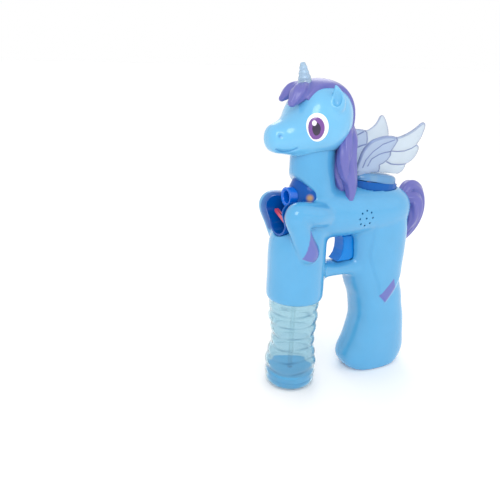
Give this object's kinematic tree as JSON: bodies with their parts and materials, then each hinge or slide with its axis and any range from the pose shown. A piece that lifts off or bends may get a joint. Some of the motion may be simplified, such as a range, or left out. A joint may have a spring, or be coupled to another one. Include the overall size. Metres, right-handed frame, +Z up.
{
  "type": "bubble gun",
  "caption": "Hand-held battery bubble gun shaped like a rearing winged unicorn, with trigger, nozzle, wiper, pump drive and a screw-on ribbed bottle under the chest.",
  "frame": {"origin": "centre of the bottle's flat base", "axes": "+Z up along the bottle's axis, -X toward the nozzle and muzzle, -Y the left side with the speaker holes"},
  "size_m": [0.146, 0.0552, 0.2428],
  "materials": {
    "body_blue": "gloss",
    "hair_violet": "gloss",
    "clear_pale": "gloss",
    "deep_blue": "gloss",
    "ring_blue": "gloss",
    "trigger_blue": "gloss",
    "warm_red": "gloss",
    "clear_aqua": "gloss",
    "soap_blue": "clear",
    "steel": "satin",
    "light_metal": "satin",
    "white_plastic": "satin",
    "dark_plastic": "satin",
    "soft_black": "matte",
    "soft_clear": "satin",
    "board_green": "satin",
    "cell_green": "gloss",
    "light_amber": "gloss"
  },
  "bodies": {
    "shell": {"body_shell_left": "body_blue", "body_shell_right": "body_blue", "head_shell_left": "body_blue", "head_shell_right": "body_blue", "mane": "hair_violet", "tail": "hair_violet", "horn": "clear_pale", "wing_saddle": "clear_pale", "wing_left": "clear_pale", "wing_right": "clear_pale", "back_window": "deep_blue", "front_housing": "deep_blue", "bubble_nozzle": "ring_blue", "air_duct": "white_plastic", "motor": "light_metal", "idler_axle": "steel", "pump_axle": "steel", "pump_housing": "white_plastic", "gear_plate": "white_plastic", "motor_screws": "steel", "pump_tube": "soft_clear", "dip_tube": "soft_clear", "bottle_socket": "white_plastic", "trigger_spring": "steel", "trigger_switch": "dark_plastic", "battery_cells": "cell_green", "battery_tray": "dark_plastic", "battery_contacts": "steel", "battery_door": "body_blue", "door_screw": "steel", "speaker": "dark_plastic", "circuit_board": "board_green", "board_screws": "steel", "lights": "light_amber", "shell_screws": "steel"},
    "trigger": {"trigger": "trigger_blue", "wiper_cam": "white_plastic"},
    "wiper": {"wiper": "warm_red"},
    "rotor": {"motor_shaft": "steel", "drive_pinion": "white_plastic", "fan_impeller": "white_plastic"},
    "idler": {"idler_gear": "white_plastic"},
    "pump": {"pump_gear": "white_plastic", "pump_rollers": "dark_plastic"},
    "seal": {"bottle_seal": "soft_black"},
    "bottle": {"bottle": "clear_aqua", "bubble_solution": "soap_blue"}
  },
  "joints": [
    {"name": "trigger_slide", "type": "slide", "parent": "shell", "child": "trigger", "axis": [1, 0, 0], "range_m": [0, 0.006], "stiffness_N_per_m": 400, "springref_m": -0.002, "deforming": ["trigger_spring"]},
    {"name": "wiper_swing", "type": "hinge", "parent": "shell", "child": "wiper", "pos_m": [0, -0.0084, 0.133], "axis": [1, 0, 0], "range_deg": [0, 52.1]},
    {"name": "rotor_spin", "type": "hinge", "parent": "shell", "child": "rotor", "pos_m": [0.06181, 0, 0.14], "axis": [1, 0, 0], "continuous": true},
    {"name": "idler_spin", "type": "hinge", "parent": "shell", "child": "idler", "pos_m": [0.06181, 0, 0.1262], "axis": [1, 0, 0], "continuous": true},
    {"name": "pump_spin", "type": "hinge", "parent": "shell", "child": "pump", "pos_m": [0.06181, 0, 0.1118], "axis": [1, 0, 0], "continuous": true},
    {"name": "seal_slide", "type": "slide", "parent": "shell", "child": "seal", "axis": [0, 0, -1], "range_m": [0, 0.00801]},
    {"name": "bottle_turn", "type": "hinge", "parent": "seal", "child": "bottle", "pos_m": [0, 0, 0.076], "axis": [0, 0, -1], "range_deg": [0, 720]}
  ],
  "couplings": [
    {"joint": "wiper_swing", "follows": "trigger_slide", "rad_per_m": 151.26},
    {"joint": "idler_spin", "follows": "rotor_spin", "ratio": -0.27778},
    {"joint": "pump_spin", "follows": "rotor_spin", "ratio": 0.092593},
    {"joint": "seal_slide", "follows": "bottle_turn", "m_per_rad": 0.00063662}
  ]
}
